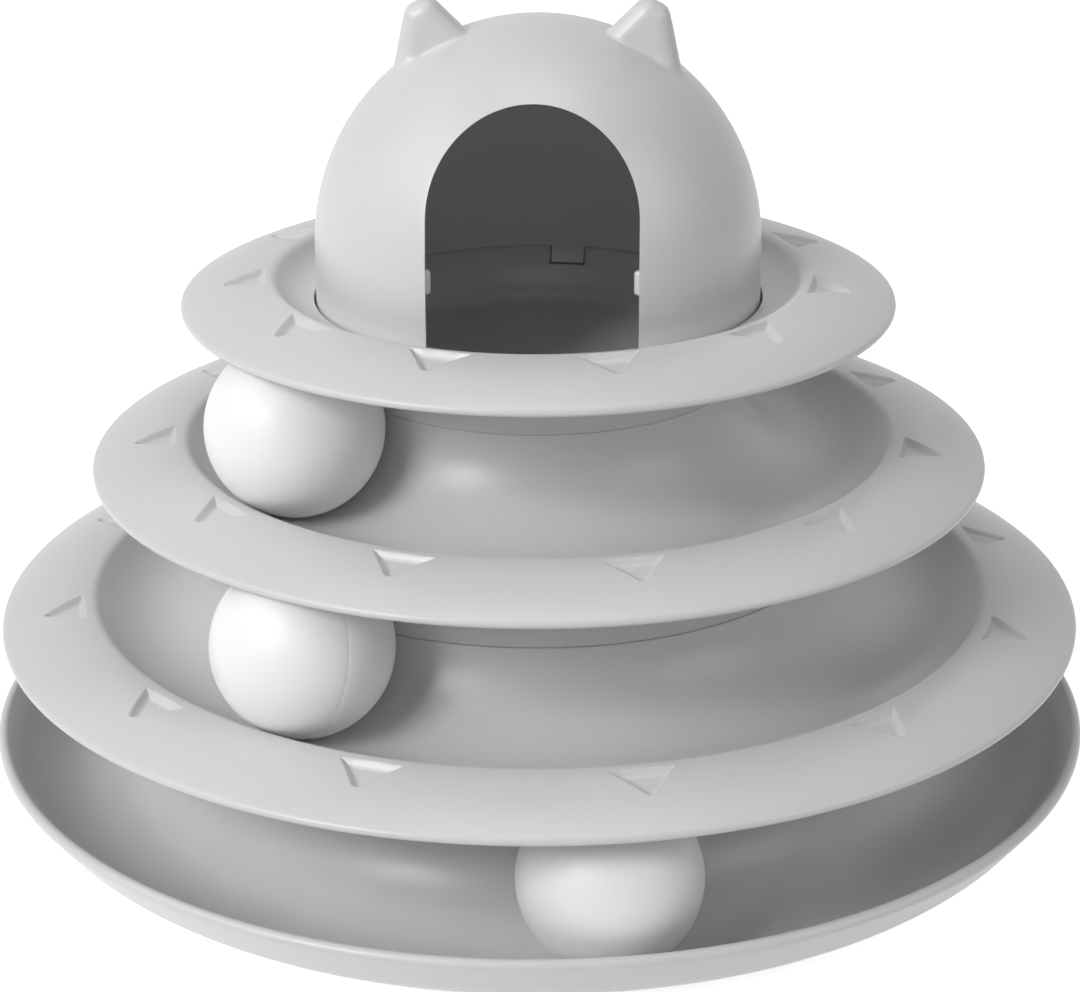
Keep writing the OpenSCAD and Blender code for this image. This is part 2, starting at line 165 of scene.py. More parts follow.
class HouseSizes(bpy.types.PropertyGroup):
    """Sizes of the cup, of the house that stands in it, and of its ears."""

    cove_depth: length("Cove depth", "Drop from the upper crest to the foot of the cove", 5.4)
    cove_r: length("Cove radius", "Radius of the cove", 9.5)
    cove_flat: length("Cove flat", "Width of the flat between the cove and the recess", 0.4)
    recess_h: length("Recess", "Depth of the recess that the house stands in", 3.3)
    corner_r: length("Cup corner", "Radius in the cup's bottom corner", 3)
    cup_edge_r: length("Cup edge", "Radius of the cup's inner edge under the house", 0.9)
    wall: length("House wall", "Wall of the house", 2)
    gap: length("House gap", "Gap between the house and the recess round it", 0.5)
    wall_h: length("Upright wall", "Height of the upright wall under the dome", 16.1)
    door_w: length("Door width", "Width of the door", 46)
    door_top_in: length("Door top", "Drop from the top of the house to the top of its door", 11.85)
    door_soft_r: length("Door edge", "Radius of the door's outer edge", 0.6)
    tab_w: length("Tab width", "Width of a locating tab", 8.1)
    tab_t: length("Tab thickness", "Thickness of a locating tab", 1)
    tab_in: length("Tab inset", "Distance from the house's inner wall to a tab", 0.2)
    tab_h: length("Tab length", "Length of a tab below the house's bottom edge", 3.9)
    tab_gap: length("Tab gap", "Gap round a tab in its slot", 0.35)
    tab_lean: length("Tab lean", "How far a tab leans inwards over its height", 2)
    tab_soft_r: length("Tab corner", "Radius of a tab's lower corners", 0.2)
    tab_turn: turn("Tab place", "Place of the first tab, from the front", 173)
    nib_h: length("Nib height", "Height of the middle of a nib", 18.8)
    nib_len: length("Nib length", "Length of a nib", 5.4)
    nib_r: length("Nib radius", "Radius of a nib", 1.1)
    ear_r: length("Ear edge", "Radius of an ear's rounded edges", 3.5)
    ear_t: length("Ear thickness", "Thickness of an ear", 8.6)
    ear_front: length("Ear front", "Distance of an ear's face before the tower's axis", 7)
    ear_tip_angle: turn("Ear tip angle", "Angle from level up to an ear's tip", 64.9)
    ear_tip_out: length("Ear tip", "How far an ear's tip stands outside the dome", 6.8)
    ear_tip_span: turn("Ear tip span", "Angle between the two round corners of an ear's tip", 1.8)
    ear_outer_angle: turn("Outer foot angle", "Angle from level up to an ear's outer foot", 51)
    ear_outer_in: length("Outer foot", "How far an ear's outer foot lies inside the dome", 4)
    ear_inner_angle: turn("Inner foot angle", "Angle from level up to an ear's inner foot", 73.3)
    ear_inner_in: length("Inner foot", "How far an ear's inner foot lies inside the dome", 9.3)


class BallSizes(bpy.types.PropertyGroup):
    """Sizes of the hollow balls and the rubber pads."""

    wall: length("Ball wall", "Wall of a ball's hollow shell", 1.6)
    groove: length("Joint groove", "Radius of the soft edges at a ball's joint line", 0.12)
    pad_w: length("Pad width", "Width of a pad", 7)
    pad_gap: length("Pad gap", "Gap round a pad in its seat", 0.15)
    pad_span: turn("Pad span", "Angle that a pad spans between its round ends", 15)
    pad_soft_r: length("Pad edge", "Radius of a pad's lower edge", 0.4)
    base_seam: joint_line("Base joint line", "Turn of the base ball's joint line", (64, 0, 20))
    lower_seam: joint_line(
        "Lower joint line", "Turn of the lower ball's joint line", (0, 101.4, 66.2)
    )
    middle_seam: joint_line(
        "Middle joint line", "Turn of the middle ball's joint line", (70, 0, 58.6)
    )


class Finishes(bpy.types.PropertyGroup):
    """Colours of the moulded plastic, the balls and the pads."""

    shell: colour("Shell", "Pale neutral grey of the moulded tiers and house", (0.62, 0.62, 0.62))
    shell_pale: colour("Pale shell", "Paler clouds in the moulded grey", (0.645, 0.645, 0.645))
    ball: colour("Ball", "White of the balls", (0.87, 0.87, 0.87))
    ball_pale: colour("Pale ball", "Paler clouds in the balls' white", (0.89, 0.89, 0.89))
    pad: colour("Pad", "Dark grey of the rubber pads", (0.10, 0.10, 0.10))
    pad_worn: colour("Worn pad", "Paler rubbed patches of the pads", (0.17, 0.17, 0.17))


class Studio(bpy.types.PropertyGroup):
    """Place of the camera, and strength of the lamps and the surroundings."""

    distance: length("Camera distance", "Level distance of the camera from the axis", 649.87)
    height: length("Camera height", "Height of the camera above the floor", 322.25)
    azimuth: turn("Camera azimuth", "Turn of the camera from the front, to the right", 1.7)
    yaw: turn("Camera yaw", "Turn of the camera to the right of the axis", 0.022)
    pitch: turn("Camera pitch", "Turn of the camera down from level", 21.253)
    roll: turn("Camera roll", "Turn of the camera about its line of sight", -0.174)
    lens: bpy.props.FloatProperty(
        name="Lens",
        description="Focal length in millimetres, on a sensor 36 mm wide",
        default=98.138,
        unit="CAMERA",
    )
    key: power("Key lamp", "Power of the lamp at the upper left", 18)
    side: power("Side lamp", "Power of the broad lamp on the left", 10)
    fill: power("Fill lamp", "Power of the soft lamp on the right", 6)
    top: power("Top lamp", "Power of the soft lamp overhead", 7)
    ambient: bpy.props.FloatProperty(
        name="Surroundings", description="Strength of the even light from all round", default=0.1
    )


GROUPS = (
    ("ball_tower_tracks", TrackSizes),
    ("ball_tower_dents", DentSizes),
    ("ball_tower_house", HouseSizes),
    ("ball_tower_balls", BallSizes),
    ("ball_tower_finishes", Finishes),
    ("ball_tower_studio", Studio),
)


# Plan of the tower


def plan():
    """Radii and heights of the tower, from the frame's boxes and the driving sizes."""
    scene = bpy.context.scene
    t = scene.ball_tower_tracks
    h = scene.ball_tower_house
    low = {name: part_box(name)[0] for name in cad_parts}
    high = {name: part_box(name)[1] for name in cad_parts}
    p = SimpleNamespace(centres={})
    for name in ("base",) + TIERS[:2]:
        halves = [f"ball_{name}_half_{half}" for half in HALVES]
        lowest = [min(low[n][i] for n in halves) for i in range(3)]
        highest = [max(high[n][i] for n in halves) for i in range(3)]
        p.centres[name] = (Vector(lowest) + Vector(highest)) / 2
        p.ball_r = (highest[2] - lowest[2]) / 2
    p.arc_r = p.ball_r + t.play
    p.rim_r = {tier: high[f"{tier}_tier"].x for tier in TIERS}
    p.rim_r["base"] = high["base_tray"].x
    p.floor = {
        "base": low["base_tray"].z + t.wall,
        "lower": high["base_tray"].z + t.wall + t.neck_gap,
        "middle": high["middle_tier"].z - p.arc_r,
        "upper": high["upper_tier"].z - t.depth,
    }
    p.track = {tier: p.rim_r[tier] - t.rim_edge - p.arc_r for tier in TIERS[:2]}
    p.track["base"] = p.rim_r["base"] - t.tray_edge - p.arc_r
    p.column = {name: track - p.arc_r for name, track in p.track.items()}
    p.seat = {
        "base": p.floor["base"] + t.seat_h,
        "lower": p.floor["lower"] + t.seat_h,
        "middle": p.floor["middle"] + p.arc_r,
    }
    # Directions from a trough's middle to its seat and to the underside of its shoulder
    under = (p.arc_r - t.seat_h + t.shoulder_t) / (p.arc_r + t.wall)
    p.seat_angle = 180 + math.degrees(math.asin((p.arc_r - t.seat_h) / p.arc_r))
    p.shoulder_angle = 180 + math.degrees(math.asin(under))
    p.cove_z = high["upper_tier"].z - h.cove_depth
    p.ledge_z = p.cove_z - h.recess_h
    p.dome_r = high["dome"].x
    p.dome_in_r = p.dome_r - h.wall
    p.dome_mid_z = p.ledge_z + h.wall_h
    p.door_arch_z = p.dome_mid_z + p.dome_r - h.door_top_in - h.door_w / 2
    p.recess_r = p.dome_r + h.gap
    p.cove_x = p.recess_r + h.cove_flat
    p.cup_floor = p.seat["middle"] + t.wall
    p.spigot_r = p.column["middle"] - t.wall - t.slip
    p.tab_in_r = p.dome_in_r + h.tab_in
    p.tab_out_r = p.tab_in_r + h.tab_t
    return p


# Outlines: points in the XZ plane, as (point, corner radius)


def polar(centre, radius, angle):
    """Point at a distance from a centre, in a direction in degrees."""
    a = math.radians(angle)
    return (centre[0] + radius * math.cos(a), centre[1] + radius * math.sin(a))


def arc(centre, radius, start, end, spacing):
    """Points along an arc, about spacing apart."""
    count = max(1, math.ceil(abs(math.radians(end - start)) * radius / spacing))
    angles = [start + (end - start) * i / count for i in range(count + 1)]
    return [(polar(centre, radius, a), 0) for a in angles]


def bearing(point, centre):
    """Direction of a point from a centre, from 0 to 360 degrees."""
    return math.degrees(math.atan2(point[1] - centre[1], point[0] - centre[0])) % 360


def meet(first, first_r, second, second_r):
    """Where two circles meet, on the outer side of the tower."""
    a, b = Vector(first), Vector(second)
    u = (b - a).normalized()
    gap = (b - a).length
    along = (gap**2 + first_r**2 - second_r**2) / (2 * gap)
    return a + u * along + Vector((-u.y, u.x)) * math.sqrt(first_r**2 - along**2)


def under_bearing(offset, radius):
    """Direction, in the lower half, of a circle's point that lies offset beside its centre."""
    return 360 - math.degrees(math.acos(offset / radius))


# Steps of a rounded corner
CORNER_STEPS = 5


def soften(outline):
    """The outline's points, with each corner that has a radius rounded to it."""
    points = []
    for i, (place, radius) in enumerate(outline):
        corner = Vector(place)
        if radius == 0:
            points.append(corner)
            continue
        before = (Vector(outline[i - 1][0]) - corner).normalized()
        after = (Vector(outline[(i + 1) % len(outline)][0]) - corner).normalized()
        half = before.angle(after) / 2
        centre = corner + (before + after).normalized() * radius / math.sin(half)
        first = corner + before * radius / math.tan(half) - centre
        last = corner + after * radius / math.tan(half) - centre
        for k in range(CORNER_STEPS + 1):
            points.append(centre + first.slerp(last, k / CORNER_STEPS) * radius)
    return points


# Spacing of an outline's points on broad arcs, undersides and small edges, and across the dents
BROAD = 0.0020
UNDER = 0.0032
SMALL = 0.0004
FINE = 0.00033


def neck(p, t, tier, next_floor):
    """Neck that stands on a shoulder and locates the tier above."""
    outer = p.column[tier] - t.wall - t.slip
    inner = outer - t.wall
    top = next_floor - t.wall - t.neck_gap
    return [
        ((inner, p.seat[tier] - t.shoulder_t), 0),
        ((inner, top), t.soft_r),
        ((outer, top), t.soft_r),
        ((outer, p.seat[tier]), 0),
    ]


def rim(p, t, d, tier, middle, radius, start, end):
    """A rim: up from the trough or cove, over the crest, round the lip and back underneath."""
    rim_r = p.rim_r[tier]
    crown = (rim_r - t.crest_in, p.floor[tier] + t.depth - t.crown_r)
    crest_r = t.wall + t.crest_under_r
    lip_r = t.wall / 2
    crest = meet(middle, radius + crest_r, crown, t.crown_r - crest_r)
    a_middle = bearing(crest, middle)
    a_crown = bearing(crest, crown)
    a_lip = 90 - math.degrees(math.asin((t.crest_in - lip_r) / (t.crown_r - lip_r)))
    lip = polar(crown, t.crown_r - lip_r, a_lip)
    dent_end = t.crest_in - d.inset + d.run
    a_dents = math.degrees(math.acos(dent_end / t.crown_r))
    return (
        arc(middle, radius, start, a_middle, BROAD)[1:]
        + arc(crest, crest_r, a_middle - 180, a_crown, SMALL)[1:]
        + arc(crown, t.crown_r, a_crown, a_dents, FINE)[1:]
        + arc(crown, t.crown_r, a_dents, a_lip, BROAD)[1:]
        + arc(lip, lip_r, a_lip, a_lip - 180, SMALL)[1:]
        + arc(crown, t.crown_r - t.wall, a_lip, a_crown, UNDER)[1:]
        + arc(crest, t.crest_under_r, a_crown, a_middle - 180, SMALL)[1:]
        + arc(middle, radius + t.wall, a_middle, end, UNDER)[1:]
    )


def skirt(p, t, middle, column, seat, end):
    """Skirt down to the seat of the tier below, then the trough's underside inside it."""
    start = under_bearing(column - t.wall - middle[0], p.arc_r + t.wall)
    return [((column, seat), t.soft_r), ((column - t.wall, seat), 0)] + arc(
        middle, p.arc_r + t.wall, start, end, UNDER
    )


def tray_outline(p, t):
    """Base tray: neck, shoulder, trough with a flat, and a rounded outer lip."""
    middle = (p.track["base"], p.floor["base"] + p.arc_r)
    out = (middle[0] + t.tray_flat, middle[1])
    lip = (p.rim_r["base"] - t.tray_lip_r, middle[1] - t.tray_lip_drop)
    reach = math.dist(lip, out)
    a_lip = bearing(lip, out)
    a_top = a_lip - math.degrees(math.acos((p.arc_r + t.tray_lip_r) / reach))
    a_under = a_lip - math.degrees(math.acos((p.arc_r + t.wall - t.tray_lip_r) / reach))
    return (
        neck(p, t, "base", p.floor["lower"])
        + [(polar(middle, p.arc_r, p.seat_angle), t.soft_r)]
        + arc(middle, p.arc_r, p.seat_angle, 270, BROAD)[1:]
        + arc(out, p.arc_r, 270, a_top, BROAD)
        + arc(lip, t.tray_lip_r, a_top - 180, a_under - 360, SMALL)[1:]
        + arc(out, p.arc_r + t.wall, a_under, 270, BROAD)[1:]
        + arc(middle, p.arc_r + t.wall, 270, p.shoulder_angle, BROAD)
    )


def lower_outline(p, t, d):
    """Lower tier: neck, trough, rim, and a skirt that sits on the tray's shoulder."""
    middle = (p.track["lower"], p.floor["lower"] + p.arc_r)
    end = under_bearing(p.column["base"] - middle[0], p.arc_r + t.wall)
    return (
        neck(p, t, "lower", p.floor["middle"])
        + [(polar(middle, p.arc_r, p.seat_angle), t.soft_r)]
        + rim(p, t, d, "lower", middle, p.arc_r, p.seat_angle, end)
        + skirt(p, t, middle, p.column["base"], p.seat["base"], p.shoulder_angle)
    )


def middle_outline(p, t, d):
    """Middle tier: its column ends at the middle of the trough, under the cup."""
    middle = (p.track["middle"], p.floor["middle"] + p.arc_r)
    end = under_bearing(p.column["lower"] - middle[0], p.arc_r + t.wall)
    return (
        [(polar(middle, p.arc_r, 180), t.soft_r)]
        + rim(p, t, d, "middle", middle, p.arc_r, 180, end)
        + skirt(p, t, middle, p.column["lower"], p.seat["lower"], 180)
    )


# Share of the middle track's curve that the cup's side follows before its bottom corner
CUP_SIDE_SHARE = 0.6


def upper_outline(p, t, d, h):
    """Upper tier: a cup whose outside carries the middle track's curve on, and a rim."""
    track = (p.track["middle"], p.seat["middle"])
    cove = (p.cove_x, p.cove_z + h.cove_r)
    ledge_r = p.dome_in_r + t.slip
    a_in = 180 - math.degrees(math.acos((track[0] - ledge_r) / (p.arc_r + t.wall)))
    a_out = 180 - math.degrees(math.acos((track[0] - p.recess_r) / p.arc_r))
    a_low = a_in + (180 - a_in) * CUP_SIDE_SHARE
    foot = (polar(track, p.arc_r + t.wall, a_low)[0], p.cup_floor)
    end = under_bearing(p.recess_r + t.wall - p.cove_x, h.cove_r + t.wall)
    return (
        [((0, p.cup_floor), 0), (foot, h.corner_r)]
        + arc(track, p.arc_r + t.wall, a_low, a_in, BROAD)
        + [((ledge_r, p.ledge_z), h.cup_edge_r), ((p.recess_r, p.ledge_z), 0)]
        + [((p.recess_r, p.cove_z), t.soft_r), (polar(cove, h.cove_r, 270), 0)]
        + rim(p, t, d, "upper", cove, h.cove_r, 270, end)
        + arc(track, p.arc_r, a_out, 180, BROAD)[:-1]
        + [(polar(track, p.arc_r, 180), t.soft_r)]
        + [((p.spigot_r, track[1]), 0), ((p.spigot_r, track[1] - t.spigot_h), t.soft_r)]
        + [((p.spigot_r - t.wall, track[1] - t.spigot_h), t.soft_r)]
        + [((p.spigot_r - t.wall, track[1]), 0), ((0, track[1]), 0)]
    )


# Modelling by hand: small steps that the pieces share

# Up to this angle in degrees an edge is shaded smooth, in general and on the house
SMOOTH_ANGLE = 40
HOUSE_SMOOTH_ANGLE = 35


def enter_edit():
    """Enters edit mode."""
    bpy.ops.object.mode_set(mode="EDIT")


def leave_edit():
    """Leaves edit mode."""
    bpy.ops.object.mode_set(mode="OBJECT")


def select_mesh():
    """Selects the whole mesh in edit mode."""
    bpy.ops.mesh.select_all(action="SELECT")


def start_clean():
    """Leaves edit mode and deselects everything."""
    if bpy.context.object and bpy.context.object.mode != "OBJECT":
        leave_edit()
    bpy.ops.object.select_all(action="DESELECT")


def take_up(piece):
    """Makes one piece the selected and active one."""
    start_clean()
    piece.select_set(True)
    bpy.context.view_layer.objects.active = piece


def named(name):
    """Names the object that was just added, and puts its place into its mesh."""
    piece = bpy.context.object
    piece.name = name
    piece.data.name = name
    bpy.ops.object.transform_apply(location=True, rotation=True, scale=True)
    return piece


def turn_about(piece, angle):
    """Turns the selected piece about the tower's axis, and puts the turn into its mesh."""
    piece.rotation_euler.z = angle
    bpy.ops.object.transform_apply(rotation=True)


def modify(piece, kind, **settings):
    """Adds a modifier to the active piece, sets it and applies it."""
    bpy.ops.object.modifier_add(type=kind)
    modifier = piece.modifiers[-1]
    for key, value in settings.items():
        setattr(modifier, key, value)
    bpy.ops.object.modifier_apply(modifier=modifier.name)


def combine(piece, tool, operation):
    """Joins a tool to a piece, or cuts it away, and removes the tool."""
    take_up(piece)
    modify(piece, "BOOLEAN", operation=operation, solver="EXACT", object=tool)
    bpy.data.objects.remove(tool)


def pick(piece, kind, test):
    """Selects the vertices, edges or faces of the piece in edit mode that the test is true of."""
    bpy.ops.mesh.select_mode(type=kind)
    bpy.ops.mesh.select_all(action="DESELECT")
    leave_edit()
    mesh = piece.data
    elements = {"VERT": mesh.vertices, "EDGE": mesh.edges, "FACE": mesh.polygons}[kind]
    for element in elements:
        element.select = test(element)
    enter_edit()


def slice_mesh(place, way, **side):
    """Cuts the mesh at a plane in edit mode, closes the cut and clears one side."""
    select_mesh()
    bpy.ops.mesh.bisect(plane_co=place, plane_no=way, use_fill=True, **side)


def close_up():
    """Joins doubled points and turns all faces outwards, in edit mode."""
    bpy.ops.mesh.select_mode(type="VERT")
    select_mesh()
    bpy.ops.mesh.remove_doubles(threshold=SAME)
    bpy.ops.mesh.normals_make_consistent(inside=False)


def add_sphere(segments, radius, place=(0, 0, 0)):
    """Adds a sphere with half as many rings as segments."""
    bpy.ops.mesh.primitive_uv_sphere_add(
        segments=segments, ring_count=segments // 2, radius=radius, location=place
    )


def draw(name, points, closed=True):
    """Draws an outline of points in space, by extruding its first point. Ends in edit mode."""
    start_clean()
    bpy.ops.mesh.primitive_plane_add(size=SMALL, location=points[0])
    piece = named(name)
    enter_edit()
    bpy.ops.mesh.select_mode(type="VERT")
    select_mesh()
    bpy.ops.mesh.merge(type="CENTER")
    for before, after in zip(points, points[1:]):
        step = Vector(after) - Vector(before)
        bpy.ops.mesh.extrude_vertices_move(TRANSFORM_OT_translate={"value": step})
    if closed:
        ends = [Vector(points[0]), Vector(points[-1])]
        pick(piece, "VERT", lambda vertex: any((vertex.co - end).length < SAME for end in ends))
        bpy.ops.mesh.edge_face_add()
    return piece


def draw_block(name, points, way):
    """Fills an outline of points and draws it out into a block. Ends in edit mode."""
    piece = draw(name, points)
    select_mesh()
    bpy.ops.mesh.edge_face_add()
    select_mesh()
    bpy.ops.mesh.extrude_region_move(TRANSFORM_OT_translate={"value": way})
    close_up()
    return piece


def spin(steps, angle, **options):
    """Spins the mesh about the tower's axis, in edit mode."""
    bpy.ops.mesh.spin(
        steps=steps, angle=angle, center=(0, 0, 0), axis=(0, 0, -1), **options
    )


def lathe(name, points, turns, sectors=1):
    """Turns an outline about the axis, by turns of an angle and steps, and repeats the sector."""
    on_axis = points[0][0] < SAME and points[-1][0] < SAME
    piece = draw(name, [(x, 0, z) for x, z in points], not on_axis)
    select_mesh()
    for angle, steps in turns:
        spin(steps, angle)
    if sectors > 1:
        select_mesh()
        spin(sectors - 1, math.tau * (sectors - 1) / sectors, dupli=True)
    close_up()
    leave_edit()
    return piece


def finish(piece, node, body, slot, angle=SMOOTH_ANGLE):
    """Shades, paints and seats a piece, which then stands for its solid."""
    take_up(piece)
    bpy.ops.object.shade_smooth_by_angle(angle=math.radians(angle))
    piece.data.materials.clear()
    piece.data.materials.append(material_for(slot))
    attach(piece, body)
    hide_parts(node)


# Finishes

# Range of roughness, scale and strength of the grain, and specular level of each slot's finish
SKINS = {
    "shell_plastic": {"rough": (0.32, 0.38), "grain_scale": 2600.0, "bump": 0.06, "specular": 0.5},
    "ball_plastic": {"rough": (0.40, 0.46), "grain_scale": 1800.0, "bump": 0.05, "specular": 0.5},
    "pad_rubber": {"rough": (0.75, 0.9), "grain_scale": 1500.0, "bump": 0.5, "specular": 0.3},
}
# Height of the grain, and the detail of its noise and of the clouds' noise
GRAIN_HEIGHT = 0.0001
GRAIN_DETAIL = 3.0
CLOUD_DETAIL = 2.0
# Scale of the clouds, and the part of their noise that is spread from the darkest to the palest
CLOUD_SCALE = 28.0
CLOUD_RANGE = (0.3, 0.7)


def link_chain(tree, *pairs):
    """Links pairs of sockets in a node tree."""
    for source, target in pairs:
        tree.links.new(source, target)


def noise(tree, place, scale, detail):
    """The value of a noise texture at a place, with its scale from a socket."""
    node = tree.nodes.new("ShaderNodeTexNoise")
    node.inputs["Detail"].default_value = detail
    link_chain(tree, (place, node.inputs["Vector"]), (scale, node.inputs["Scale"]))
    return node.outputs["Fac"]


def moulded_group():
    """Shared effect: the fine grain of a moulded skin, and broad faint clouds in its colour."""
    name = "Moulded skin"
    if name in bpy.data.node_groups:
        return bpy.data.node_groups[name]
    tree = bpy.data.node_groups.new(name, "ShaderNodeTree")
    tree.interface.new_socket("Place", in_out="INPUT", socket_type="NodeSocketVector")
    for label in ("Grain scale", "Cloud scale"):
        tree.interface.new_socket(label, in_out="INPUT", socket_type="NodeSocketFloat")
    for label in ("Grain", "Clouds"):
        tree.interface.new_socket(label, in_out="OUTPUT", socket_type="NodeSocketFloat")
    given = tree.nodes.new("NodeGroupInput").outputs
    out = tree.nodes.new("NodeGroupOutput")
    clouds = noise(tree, given["Place"], given["Cloud scale"], CLOUD_DETAIL)
    spread = tree.nodes.new("ShaderNodeMapRange")
    spread.inputs["From Min"].default_value = CLOUD_RANGE[0]
    spread.inputs["From Max"].default_value = CLOUD_RANGE[1]
    link_chain(
        tree,
        (noise(tree, given["Place"], given["Grain scale"], GRAIN_DETAIL), out.inputs["Grain"]),
        (clouds, spread.inputs["Value"]),
        (spread.outputs["Result"], out.inputs["Clouds"]),
    )
    return tree


def moulded_material(name, plain, pale, rough, grain_scale, bump, specular):
    """A moulded plastic or rubber: clouds in its colour, grain in its gloss and its skin."""
    material = bpy.data.materials.new(name)
    material.use_nodes = True
    tree = material.node_tree
    shader = tree.nodes["Principled BSDF"]
    shader.inputs["Specular IOR Level"].default_value = specular
    place = tree.nodes.new("ShaderNodeTexCoord").outputs["Object"]
    skin = tree.nodes.new("ShaderNodeGroup")
    skin.node_tree = moulded_group()
    skin.inputs["Grain scale"].default_value = grain_scale
    skin.inputs["Cloud scale"].default_value = CLOUD_SCALE
    tint = tree.nodes.new("ShaderNodeMix")
    tint.data_type = "RGBA"
    tint.inputs["A"].default_value = (*plain, 1)
    tint.inputs["B"].default_value = (*pale, 1)
    gloss = tree.nodes.new("ShaderNodeMapRange")
    gloss.inputs["To Min"].default_value = rough[0]
    gloss.inputs["To Max"].default_value = rough[1]
    relief = tree.nodes.new("ShaderNodeBump")
    relief.inputs["Strength"].default_value = bump
    relief.inputs["Distance"].default_value = GRAIN_HEIGHT
    link_chain(
        tree,
        (place, skin.inputs["Place"]),
        (skin.outputs["Clouds"], tint.inputs["Factor"]),
        (tint.outputs["Result"], shader.inputs["Base Color"]),
        (skin.outputs["Clouds"], gloss.inputs["Value"]),
        (gloss.outputs["Result"], shader.inputs["Roughness"]),
        (skin.outputs["Grain"], relief.inputs["Height"]),
        (relief.outputs["Normal"], shader.inputs["Normal"]),
    )
    return material


def material_for(slot):
    """The finish of a material slot, made once, beside the plain one that the frame brings."""
    name = f"moulded_{slot}"
    if name in bpy.data.materials:
        return bpy.data.materials[name]
    f = bpy.context.scene.ball_tower_finishes
    colours = {
        "shell_plastic": (f.shell, f.shell_pale),
        "ball_plastic": (f.ball, f.ball_pale),
        "pad_rubber": (f.pad, f.pad_worn),
    }
    return moulded_material(name, *colours[slot], **SKINS[slot])


# Pieces

# Spacing of the steps round the tray's rim and round the house
TRAY_SPACING = 0.0045
HOUSE_SPACING = 0.0025


def even_turn(radius, spacing):
    """A whole turn in even steps, about spacing apart at a radius."""
    return [(math.tau, 4 * math.ceil(math.tau * radius / spacing / 4))]


def dent_turns(count, radius, d):
    """The turns of one dent's sector: fine steps across the dent and broad steps beside it."""
    fine = (d.width + 2 * FINE) / radius
    broad = math.tau / count - fine
    fine_steps = math.ceil(fine * radius / FINE)
    broad_steps = math.ceil(broad * radius / (2 * BROAD))
    return [(fine, fine_steps), (broad, broad_steps)]


def dent_share(place, count, turned, rim_r, d):
    """How deep a point of a rim is pressed in, from 0 to 1."""
    pitch = math.tau / count
    angle = math.atan2(place.y, place.x) + math.pi / 2 - turned
    off = (angle % pitch) - pitch / 2
    radius = math.hypot(place.x, place.y)
    along = radius * math.cos(off) - (rim_r - d.inset)
    across = abs(radius * math.sin(off))
    half = d.width / 2
    side = math.hypot(d.run, half)
    inside = min(along, ((d.run - along) * half - across * d.run) / side)
    tip = d.run - d.point_r * side / half
    if along > tip + d.point_r * half / side:
        inside = min(inside, d.point_r - math.hypot(along - tip, across))
    left = 1 - min(max(inside / d.slope, 0), 1)
    return 1 - left * left


def press_dents(piece, tier, p, t, d):
    """Presses the pointed dents into a rim's crown."""
    count = getattr(d, tier)
    turned = getattr(d, f"{tier}_turn")
    rim_r = p.rim_r[tier]
    crown = Vector((rim_r - t.crest_in, p.floor[tier] + t.depth - t.crown_r))
    group = piece.vertex_groups.new(name="dents")
    for vertex in piece.data.vertices:
        flat = Vector((math.hypot(vertex.co.x, vertex.co.y), vertex.co.z))
        if flat.x < rim_r - t.crest_in or (flat - crown).length < t.crown_r - t.wall / 2:
            continue
        share = dent_share(vertex.co, count, turned, rim_r, d)
        if share > 0:
            group.add([vertex.index], share, "REPLACE")
    take_up(piece)
    modify(
        piece, "DISPLACE", direction="NORMAL", mid_level=0, strength=-d.depth, vertex_group=group.name
    )
    piece.vertex_groups.clear()


class BALLTOWER_OT_tray(bpy.types.Operator):
    """Turn the wide base tray with its round track"""

    bl_idname = "ball_tower.tray"
    bl_label = "Base tray"

    def execute(self, context):
        p = plan()
        t = context.scene.ball_tower_tracks
        b = context.scene.ball_tower_balls
        piece = lathe("tray", soften(tray_outline(p, t)), even_turn(p.rim_r["base"], TRAY_SPACING))
        for node, turned in pad_places():
            low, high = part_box(node)
            seat = pad_block("seat", p, t, b, b.pad_gap, low.z, high.z, turned)
            leave_edit()
            combine(piece, seat, "DIFFERENCE")
        finish(piece, "base_tray", "base", "shell_plastic")
        return {"FINISHED"}


class BALLTOWER_OT_tiers(bpy.types.Operator):
    """Turn the three loose tiers and press the dents into their rims"""

    bl_idname = "ball_tower.tiers"
    bl_label = "Tiers with dented rims"

    def execute(self, context):
        p = plan()
        t = context.scene.ball_tower_tracks
        d = context.scene.ball_tower_dents
        h = context.scene.ball_tower_house
        outlines = {
            "lower": lower_outline(p, t, d),
            "middle": middle_outline(p, t, d),
            "upper": upper_outline(p, t, d, h),
        }
        for tier, outline in outlines.items():
            count = getattr(d, tier)
            turns = dent_turns(count, p.rim_r[tier] - d.inset, d)
            piece = lathe(f"{tier}_rim_and_track", soften(outline), turns, count)
            first_dent = math.tau / count / 2 - math.pi / 2 + getattr(d, f"{tier}_turn")
            take_up(piece)
            turn_about(piece, first_dent - turns[0][0] / 2)
            press_dents(piece, tier, p, t, d)
            if tier == "upper":
                cut_tab_slots(piece, p, t, h)
            finish(piece, f"{tier}_tier", tier, "shell_plastic")
        return {"FINISHED"}


# Tabs of the house, and the steps across each
TAB_COUNT = 3
TAB_STEPS = 8


def tab_turn(i, h):
    """Turn of a tab about the tower, from the +X side."""
    return h.tab_turn + i * math.tau / TAB_COUNT - math.pi / 2


